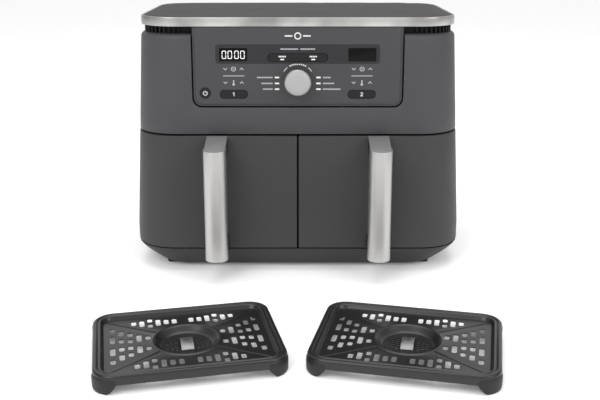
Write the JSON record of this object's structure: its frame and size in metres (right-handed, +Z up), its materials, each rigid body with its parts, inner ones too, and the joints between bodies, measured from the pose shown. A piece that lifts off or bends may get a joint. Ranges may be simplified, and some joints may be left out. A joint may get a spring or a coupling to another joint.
{
  "type": "air fryer",
  "caption": "Dual-drawer countertop air fryer with upright bar handles, a dial control panel, a steel-edged top and crisper plates laid out in front.",
  "frame": {"origin": "middle of the footprint of the whole set, fryer and laid-out plates, on the worktop", "axes": "+X to the right as seen from the front, +Y from the drawer fronts towards the back, +Z up"},
  "size_m": [0.435, 0.5836, 0.3206],
  "materials": {
    "housing_plastic": "satin moulded, dark grey",
    "panel_plastic": "satin",
    "black_plastic": "matt",
    "key_plastic": "satin",
    "display_film": "smooth film",
    "display_lens": "gloss",
    "brushed_steel": "brushed",
    "cap_metal": "satin grey",
    "dial_metal": "turned",
    "galvanised_steel": "galvanised sheet",
    "polished_steel": "ground",
    "heater_metal": "oxidised tube",
    "nonstick_coating": "non-stick coated",
    "silicone_rubber": "matt",
    "circuit_board": "solder mask",
    "motor_metal": "drawn steel can"
  },
  "bodies": {
    "fryer": {"housing_shell": "housing_plastic", "base_pan": "black_plastic", "drawer_bulkhead": "black_plastic", "motor_deck": "galvanised_steel", "rear_grille": "black_plastic", "top_cover": "housing_plastic", "top_trim": "brushed_steel", "vent_band": "black_plastic", "control_panel": "panel_plastic", "display_band": "display_film", "left_display": "display_lens", "right_display": "display_lens", "control_board": "circuit_board", "dial_encoder": "polished_steel", "power_board": "circuit_board", "left_cavity_liner": "galvanised_steel", "right_cavity_liner": "galvanised_steel", "drawer_rails": "galvanised_steel", "left_heater": "heater_metal", "right_heater": "heater_metal", "left_motor": "motor_metal", "right_motor": "motor_metal", "cord_gland": "silicone_rubber", "feet": "silicone_rubber", "base_screws": "polished_steel", "rear_screws": "polished_steel"},
    "left_fan": {"left_impeller": "polished_steel", "left_fan_shaft": "polished_steel", "left_cooling_fan": "black_plastic"},
    "right_fan": {"right_impeller": "polished_steel", "right_fan_shaft": "polished_steel", "right_cooling_fan": "black_plastic"},
    "dial_carrier": {"dial_collar": "key_plastic"},
    "dial": {"dial_shaft": "polished_steel", "dial_knob": "dial_metal", "dial_face": "dial_metal"},
    "power_key": {"power_button": "panel_plastic"},
    "left_zone_key": {"left_zone_button": "key_plastic"},
    "right_zone_key": {"right_zone_button": "key_plastic"},
    "mode_rocker": {"mode_key": "key_plastic"},
    "left_drawer": {"left_drawer_front": "housing_plastic", "left_drawer_cover": "black_plastic", "left_basket": "nonstick_coating", "left_handle_core": "black_plastic", "left_handle_facing": "brushed_steel", "left_handle_cap": "cap_metal", "left_handle_screws": "polished_steel"},
    "left_plate": {"left_crisper_plate": "nonstick_coating", "left_plate_feet": "silicone_rubber", "left_plate_strap": "polished_steel"},
    "right_drawer": {"right_drawer_front": "housing_plastic", "right_drawer_cover": "black_plastic", "right_basket": "nonstick_coating", "right_handle_core": "black_plastic", "right_handle_facing": "brushed_steel", "right_handle_cap": "cap_metal", "right_handle_screws": "polished_steel"},
    "right_plate": {"right_crisper_plate": "nonstick_coating", "right_plate_feet": "silicone_rubber", "right_plate_strap": "polished_steel"}
  },
  "joints": [
    {"name": "left_drawer_slide", "type": "slide", "parent": "fryer", "child": "left_drawer", "axis": [0, -1, 0], "range_m": [0, 0.205]},
    {"name": "right_drawer_slide", "type": "slide", "parent": "fryer", "child": "right_drawer", "axis": [0, -1, 0], "range_m": [0, 0.205]},
    {"name": "left_plate_slide", "type": "slide", "parent": "fryer", "child": "left_plate", "axis": [0, -1, 0], "range_m": [-0.1, 0.1]},
    {"name": "right_plate_slide", "type": "slide", "parent": "fryer", "child": "right_plate", "axis": [0, -1, 0], "range_m": [-0.1, 0.1]},
    {"name": "left_fan_spin", "type": "hinge", "parent": "fryer", "child": "left_fan", "pos_m": [-0.102, 0.16679, 0.2], "axis": [0, 0, 1], "continuous": true},
    {"name": "right_fan_spin", "type": "hinge", "parent": "fryer", "child": "right_fan", "pos_m": [0.102, 0.16679, 0.2], "axis": [0, 0, 1], "continuous": true},
    {"name": "dial_press", "type": "slide", "parent": "fryer", "child": "dial_carrier", "axis": [0, 1, 0], "range_m": [0, 0.0008], "stiffness_N_per_m": 900},
    {"name": "dial_turn", "type": "hinge", "parent": "dial_carrier", "child": "dial", "pos_m": [0, 0.02079, 0.2445], "axis": [0, -1, 0], "continuous": true},
    {"name": "power_press", "type": "slide", "parent": "fryer", "child": "power_key", "axis": [0, 1, 0], "range_m": [0, 0.0008], "stiffness_N_per_m": 600},
    {"name": "left_zone_press", "type": "slide", "parent": "fryer", "child": "left_zone_key", "axis": [0, 1, 0], "range_m": [0, 0.0008], "stiffness_N_per_m": 600},
    {"name": "right_zone_press", "type": "slide", "parent": "fryer", "child": "right_zone_key", "axis": [0, 1, 0], "range_m": [0, 0.0008], "stiffness_N_per_m": 600},
    {"name": "mode_tilt", "type": "hinge", "parent": "fryer", "child": "mode_rocker", "pos_m": [0, 0.02779, 0.27265], "axis": [0, 0, 1], "range_deg": [-1.2, 1.2], "stiffness_Nm_per_rad": 0.2}
  ]
}
